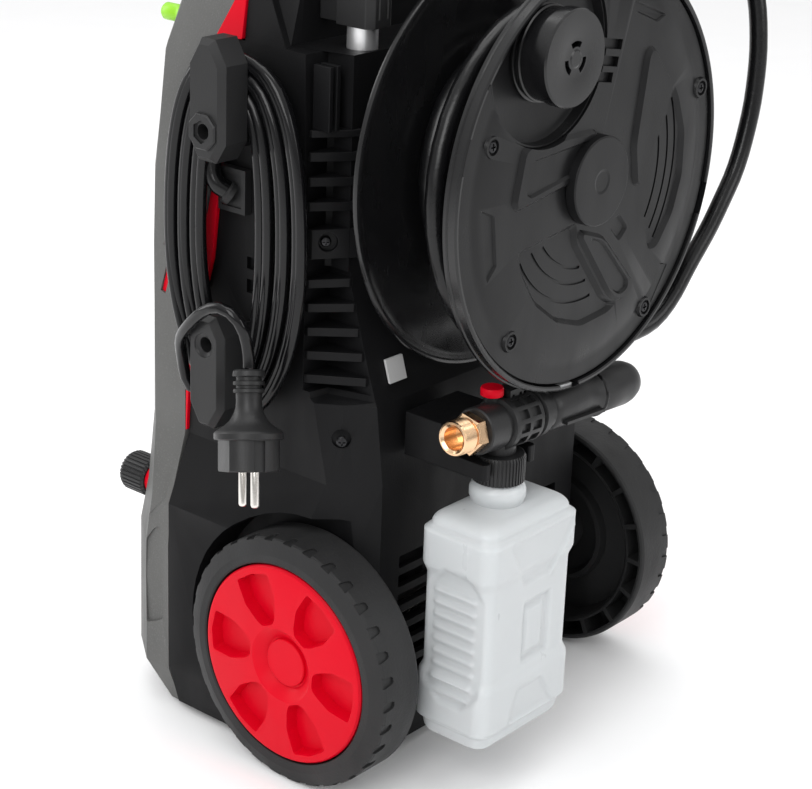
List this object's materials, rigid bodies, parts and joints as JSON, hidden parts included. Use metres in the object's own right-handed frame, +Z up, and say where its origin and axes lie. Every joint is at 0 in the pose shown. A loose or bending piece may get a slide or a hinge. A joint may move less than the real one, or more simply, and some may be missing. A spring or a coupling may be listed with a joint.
{
  "type": "pressure washer",
  "caption": "Upright electric pressure washer on two wheels, with a rear hose reel, telescopic handle, mains lead on side hooks, spray gun and a foam lance with bottle.",
  "frame": {"origin": "on the ground, under the middle of the machine's box without its mains lead and loose hose", "axes": "+Z up, X along the wheel axle, -Y the rear with the hose reel, +Y the front with the grey shell"},
  "size_m": [0.3693, 0.282, 0.8845],
  "materials": {
    "black_plastic": "fine moulded texture, satin",
    "grey_plastic": "speckled charcoal, matt",
    "red_plastic": "satin gloss",
    "tyre_black": "matt, moulded tread",
    "cable_black": "smooth sheath, slight gloss",
    "aluminium": "satin anodised",
    "nickel": "polished",
    "brass": "machined, bright",
    "bottle_white": "translucent milky polyethylene",
    "green_plastic": "satin gloss"
  },
  "bodies": {
    "root": {"rear_housing": "black_plastic", "left_louvre": "black_plastic", "right_louvre": "black_plastic", "lance_bracket": "black_plastic", "reel_mount": "black_plastic", "cord_gland": "black_plastic", "inlet_collar": "black_plastic", "left_tube_collar": "black_plastic", "right_tube_collar": "black_plastic", "lower_cord_hook": "black_plastic", "plug_body": "black_plastic", "gun_body": "black_plastic", "gun_holder": "black_plastic", "switch_box": "black_plastic", "front_shell": "grey_plastic", "left_red_trim": "red_plastic", "right_red_trim": "red_plastic", "inlet_connector": "red_plastic", "left_front_foot": "tyre_black", "right_front_foot": "tyre_black", "hose_tail": "cable_black", "lead_coil": "cable_black", "lead_tail": "cable_black", "reel_clip_plate": "aluminium", "motor": "aluminium", "pump_head": "aluminium", "axle": "nickel", "rear_plug_pin": "nickel", "front_plug_pin": "nickel", "gun_coupling": "brass"},
    "left_wheel_body": {"left_wheel": "tyre_black", "left_hubcap": "red_plastic"},
    "right_wheel_body": {"right_wheel": "tyre_black", "right_hubcap": "red_plastic"},
    "reel": {"reel_drum": "black_plastic", "reel_front_flange": "black_plastic", "reel_cover": "black_plastic", "reel_hub_cap": "black_plastic", "hose_coil": "cable_black"},
    "crank_knob_body": {"crank_knob": "black_plastic"},
    "handle": {"handle_frame": "aluminium", "handle_grip": "tyre_black"},
    "lock_button": {"handle_lock_button": "red_plastic"},
    "upper_hook": {"upper_cord_hook": "black_plastic"},
    "switch": {"power_switch": "red_plastic"},
    "spray_nozzle": {"spray_nozzle_green": "green_plastic"},
    "foam_lance": {"lance_body": "black_plastic", "lance_inlet": "brass", "foam_bottle": "bottle_white"},
    "nozzle_sleeve": {"lance_nozzle": "black_plastic"},
    "doser": {"dosing_knob": "red_plastic"},
    "cap_ring": {"bottle_cap": "black_plastic"},
    "trigger": {"gun_trigger": "red_plastic"}
  },
  "joints": [
    {"name": "left_wheel_spin", "type": "hinge", "parent": "root", "child": "left_wheel_body", "pos_m": [-0.14275, -0.033, 0.075], "axis": [1, 0, 0], "continuous": true},
    {"name": "right_wheel_spin", "type": "hinge", "parent": "root", "child": "right_wheel_body", "pos_m": [0.10525, -0.033, 0.075], "axis": [1, 0, 0], "continuous": true},
    {"name": "reel_spin", "type": "hinge", "parent": "root", "child": "reel", "pos_m": [-0.01875, -0.088, 0.351], "axis": [0, 1, 0], "continuous": true},
    {"name": "crank_knob_spin", "type": "hinge", "parent": "reel", "child": "crank_knob_body", "pos_m": [-0.06375, -0.128, 0.426], "axis": [0, 1, 0], "continuous": true},
    {"name": "handle_slide", "type": "slide", "parent": "root", "child": "handle", "axis": [0, 0, 1], "range_m": [-0.26, 0]},
    {"name": "lock_button_press", "type": "slide", "parent": "root", "child": "lock_button", "axis": [-1, 0, 0], "range_m": [0, 0.002], "stiffness_N_per_m": 600},
    {"name": "upper_hook_turn", "type": "hinge", "parent": "root", "child": "upper_hook", "pos_m": [-0.15875, 0.022, 0.375], "axis": [1, 0, 0], "range_deg": [0, 180]},
    {"name": "power_switch_turn", "type": "hinge", "parent": "root", "child": "switch", "pos_m": [-0.01875, 0.132, 0.34], "axis": [0, 1, 0], "range_deg": [0, 90]},
    {"name": "spray_nozzle_pull", "type": "slide", "parent": "root", "child": "spray_nozzle", "axis": [0, 1, 0], "range_m": [0, 0.04]},
    {"name": "foam_lance_pull_off", "type": "slide", "parent": "root", "child": "foam_lance", "axis": [0, -1, 0], "range_m": [0, 0.08]},
    {"name": "nozzle_sleeve_turn", "type": "hinge", "parent": "foam_lance", "child": "nozzle_sleeve", "pos_m": [-0.07075, -0.111, 0.22], "axis": [0.9981, 0, -0.061], "range_deg": [0, 90]},
    {"name": "dosing_knob_turn", "type": "hinge", "parent": "foam_lance", "child": "doser", "pos_m": [-0.07475, -0.1065, 0.238], "axis": [0, 0, 1], "range_deg": [0, 270]},
    {"name": "bottle_cap_turn", "type": "hinge", "parent": "foam_lance", "child": "cap_ring", "pos_m": [-0.07075, -0.111, 0.184], "axis": [0, 0, 1], "continuous": true},
    {"name": "gun_trigger_pull", "type": "hinge", "parent": "root", "child": "trigger", "pos_m": [0.15325, -0.044, 0.583], "axis": [-1, 0, 0], "range_deg": [0, 7], "stiffness_Nm_per_rad": 0.6, "springref_deg": -2.86}
  ]
}
